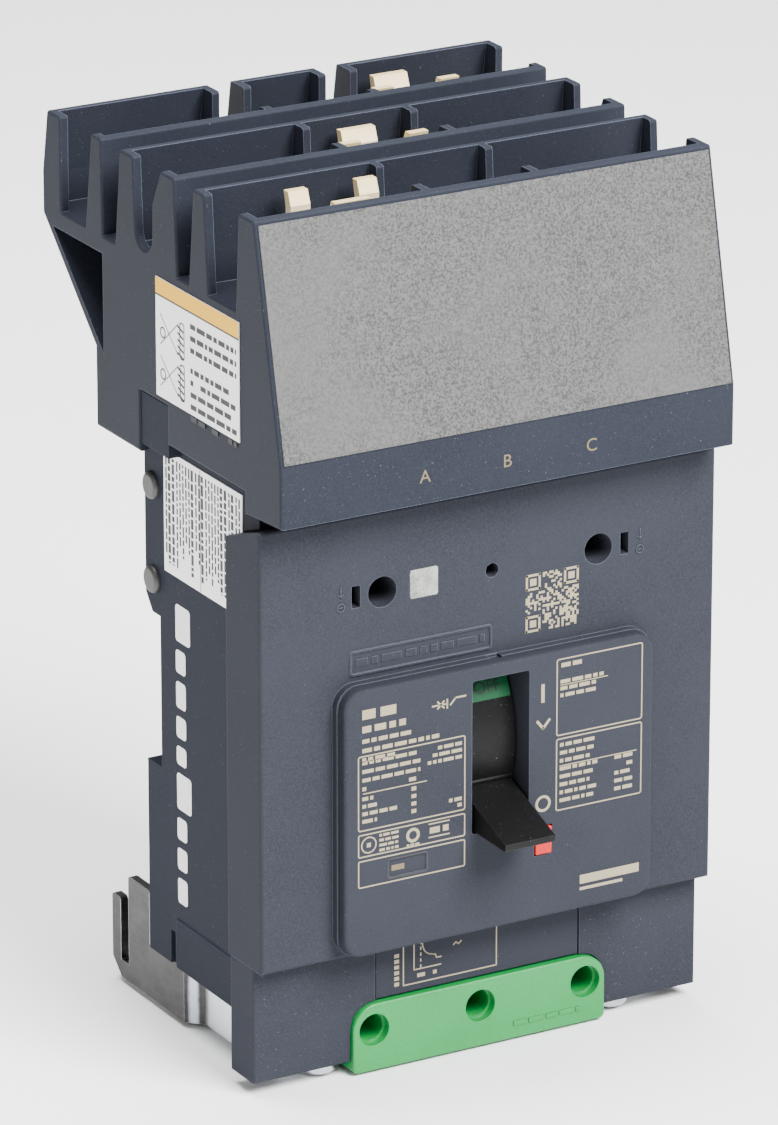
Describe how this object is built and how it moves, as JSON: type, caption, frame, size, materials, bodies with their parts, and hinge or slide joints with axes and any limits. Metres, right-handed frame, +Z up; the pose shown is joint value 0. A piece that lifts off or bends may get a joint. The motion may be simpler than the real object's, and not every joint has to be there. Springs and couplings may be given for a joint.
{
  "type": "molded case breaker",
  "caption": "Molded case breaker with a toggle handle, plug-on bus jaws between insulating fins, a push-to-trip button, box lugs behind a terminal plate and hooked steel mounting feet.",
  "frame": {"origin": "middle of the rear mounting face, 64 mm above the foot of the front frame", "axes": "+X right seen from the front, +Y back into the panel, +Z up towards the line end with the bus jaws"},
  "size_m": [0.114, 0.1171, 0.2002],
  "materials": {
    "case_plastic": "finely textured dark blue-grey moulded thermoset",
    "cover_plastic": "finely textured slate-grey moulded plastic",
    "terminal_green": "satin green moulded plastic",
    "lens_grey": "translucent grey lens",
    "label_grey": "grey speckled film label",
    "label_white": "printed white paper label",
    "rivet_dark": "dark blackened rivet head",
    "zinc_steel": "zinc-plated sheet steel",
    "plain_steel": "plain steel",
    "handle_black": "black moulded plastic",
    "flag_green": "green position flag",
    "button_red": "satin red plastic",
    "insulator": "moulded insulating plastic",
    "jaw_tin": "tin-plated copper with a film of joint compound",
    "copper": "plain copper",
    "lug_aluminium": "extruded aluminium, tin plated"
  },
  "bodies": {
    "case": {"rear_case": "case_plastic", "front_cover": "cover_plastic", "escutcheon": "cover_plastic", "indicator_window": "lens_grey", "cover_screws": "zinc_steel", "lower_front_frame": "cover_plastic", "trip_unit_cover": "cover_plastic", "terminal_plate": "terminal_green", "line_housing": "case_plastic", "line_label": "label_grey", "side_label_upper": "label_white", "side_label_lower": "label_white", "case_rivets": "rivet_dark", "mounting_bracket": "zinc_steel", "bracket_screws": "zinc_steel", "handle_pins": "plain_steel", "mechanism_frame": "plain_steel", "trip_button_spring": "plain_steel", "line_jaw_a": "jaw_tin", "jaw_spring_a": "plain_steel", "line_strap_a": "copper", "arc_chute_a": "plain_steel", "load_strap_a": "copper", "bimetal_a": "copper", "magnet_yoke_a": "plain_steel", "lug_a": "lug_aluminium", "line_jaw_b": "jaw_tin", "jaw_spring_b": "plain_steel", "line_strap_b": "copper", "arc_chute_b": "plain_steel", "load_strap_b": "copper", "bimetal_b": "copper", "magnet_yoke_b": "plain_steel", "lug_b": "lug_aluminium", "line_jaw_c": "jaw_tin", "jaw_spring_c": "plain_steel", "line_strap_c": "copper", "arc_chute_c": "plain_steel", "load_strap_c": "copper", "bimetal_c": "copper", "magnet_yoke_c": "plain_steel", "lug_c": "lug_aluminium"},
    "handle": {"toggle_handle": "handle_black", "position_flag": "flag_green", "handle_yoke": "plain_steel", "main_springs": "plain_steel"},
    "contact_shaft": {"contact_crossbar": "insulator", "moving_contact_a": "copper", "moving_contact_b": "copper", "moving_contact_c": "copper"},
    "trip_button": {"trip_button": "button_red"},
    "trip_bar": {"trip_bar": "insulator"},
    "lug_screw_a": {"lug_screw_a": "zinc_steel"},
    "lug_screw_b": {"lug_screw_b": "zinc_steel"},
    "lug_screw_c": {"lug_screw_c": "zinc_steel"}
  },
  "joints": [
    {"name": "handle_swing", "type": "hinge", "parent": "case", "child": "handle", "pos_m": [0, -0.032, 0.006], "axis": [-1, 0, 0], "range_deg": [0, 39]},
    {"name": "contact_swing", "type": "hinge", "parent": "case", "child": "contact_shaft", "pos_m": [0, -0.017, 0.01], "axis": [-1, 0, 0], "range_deg": [0, 26]},
    {"name": "trip_push", "type": "slide", "parent": "case", "child": "trip_button", "axis": [0, 1, 0], "range_m": [0, 0.0018], "stiffness_N_per_m": 250, "springref_m": -0.003, "deforming": ["trip_button_spring"]},
    {"name": "trip_turn", "type": "hinge", "parent": "case", "child": "trip_bar", "pos_m": [0, -0.024, -0.004], "axis": [1, 0, 0], "range_deg": [0, 8.3]},
    {"name": "lug_screw_turn_a", "type": "hinge", "parent": "case", "child": "lug_screw_a", "pos_m": [-0.027, -0.04, -0.0569], "axis": [0, -1, 0], "continuous": true},
    {"name": "lug_screw_turn_b", "type": "hinge", "parent": "case", "child": "lug_screw_b", "pos_m": [0, -0.04, -0.0569], "axis": [0, -1, 0], "continuous": true},
    {"name": "lug_screw_turn_c", "type": "hinge", "parent": "case", "child": "lug_screw_c", "pos_m": [0.027, -0.04, -0.0569], "axis": [0, -1, 0], "continuous": true}
  ],
  "couplings": [
    {"joint": "contact_swing", "follows": "handle_swing", "ratio": 0.6666},
    {"joint": "trip_turn", "follows": "trip_push", "rad_per_m": 77.8}
  ]
}
